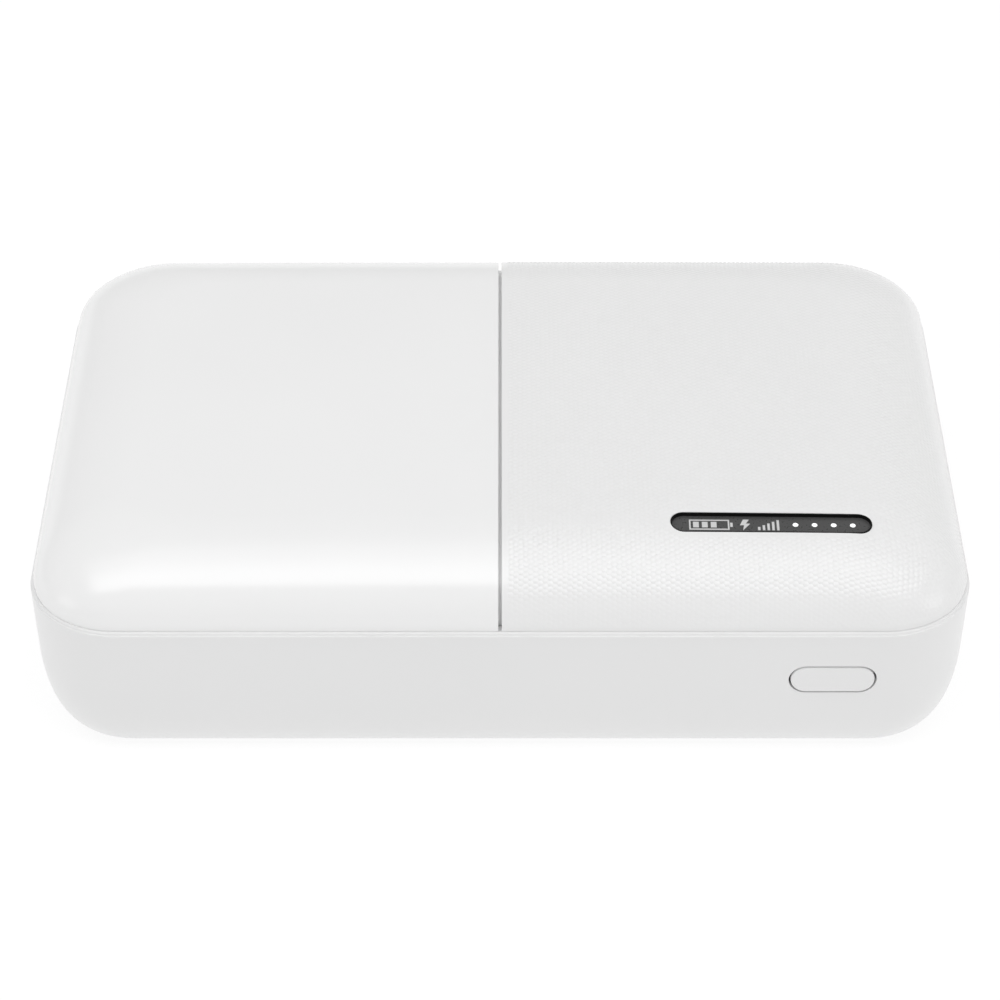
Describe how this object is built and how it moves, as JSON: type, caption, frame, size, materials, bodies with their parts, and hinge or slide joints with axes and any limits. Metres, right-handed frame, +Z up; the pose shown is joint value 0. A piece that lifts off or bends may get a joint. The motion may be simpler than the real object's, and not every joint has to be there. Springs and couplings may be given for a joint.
{
  "type": "power bank",
  "caption": "Pocket power bank with a pillow-topped two-tone white cover, recessed status-light window, side button and end sockets.",
  "frame": {"origin": "centre of the flat rest face under the case", "axes": "+X along the long side towards the socket end, -Y towards the button side, +Z up"},
  "size_m": [0.092, 0.06, 0.024],
  "materials": {
    "shell_plastic": "fine matte injection-moulded",
    "cover_plastic": "satin on the left half, fine moulded relief on the right half",
    "window_plastic": "satin dark tinted",
    "clear_plastic": "clear, diffused tips",
    "black_plastic": "matte",
    "led_package": "satin",
    "switch_plastic": "satin",
    "steel": "bright",
    "tinned_metal": "satin",
    "board_laminate": "solder mask over glass-epoxy laminate",
    "nickel_plate": "nickel plated, satin",
    "socket_plastic": "matte",
    "gold_plate": "gold flash",
    "pouch_foil": "dull laminated foil",
    "amber_tape": "thin film",
    "white_tape": "matte",
    "grey_foam": "closed-cell foam",
    "insulating_card": "pressed card",
    "epoxy_bead": "gloss",
    "lead_insulation": "satin",
    "ferrite": "matte",
    "chip_epoxy": "matte",
    "capacitor_ceramic": "satin",
    "tantalum_case": "satin"
  },
  "bodies": {
    "case": {"bottom_shell": "shell_plastic", "top_cover": "cover_plastic", "indicator_window": "window_plastic", "light_guide": "clear_plastic", "led_shroud": "black_plastic", "status_leds": "led_package", "switch_body": "black_plastic", "switch_frame": "steel", "switch_dome": "steel", "switch_legs": "tinned_metal", "main_board": "board_laminate", "board_screws": "steel", "usb_a_shell_1": "nickel_plate", "usb_a_tongue_1": "socket_plastic", "usb_a_contacts_1": "gold_plate", "usb_a_shell_2": "nickel_plate", "usb_a_tongue_2": "socket_plastic", "usb_a_contacts_2": "gold_plate", "usb_c_shell": "nickel_plate", "usb_c_tongue": "black_plastic", "usb_c_contacts": "gold_plate", "lower_cell": "pouch_foil", "upper_cell": "pouch_foil", "lower_cell_tabs": "tinned_metal", "upper_cell_tabs": "tinned_metal", "tab_solder": "tinned_metal", "tab_insulation": "amber_tape", "cell_tape": "white_tape", "lower_foam_pad": "grey_foam", "upper_foam_pad": "grey_foam", "insulating_sheet": "insulating_card", "thermistor": "epoxy_bead", "thermistor_leads": "lead_insulation", "power_inductor": "ferrite", "controller_chip": "chip_epoxy", "protection_chips": "chip_epoxy", "ceramic_capacitors": "capacitor_ceramic", "chip_resistors": "chip_epoxy", "bulk_capacitors": "tantalum_case"},
    "button": {"power_button": "shell_plastic"},
    "plunger": {"switch_plunger": "switch_plastic"}
  },
  "joints": [
    {"name": "button_press", "type": "slide", "parent": "case", "child": "button", "axis": [0, 1, 0], "range_m": [0, 0.0003], "stiffness_N_per_m": 4000, "deforming": ["switch_dome"]},
    {"name": "plunger_press", "type": "slide", "parent": "case", "child": "plunger", "axis": [0, 1, 0], "range_m": [0, 0.0003]}
  ],
  "couplings": [
    {"joint": "plunger_press", "follows": "button_press", "ratio": 1}
  ]
}
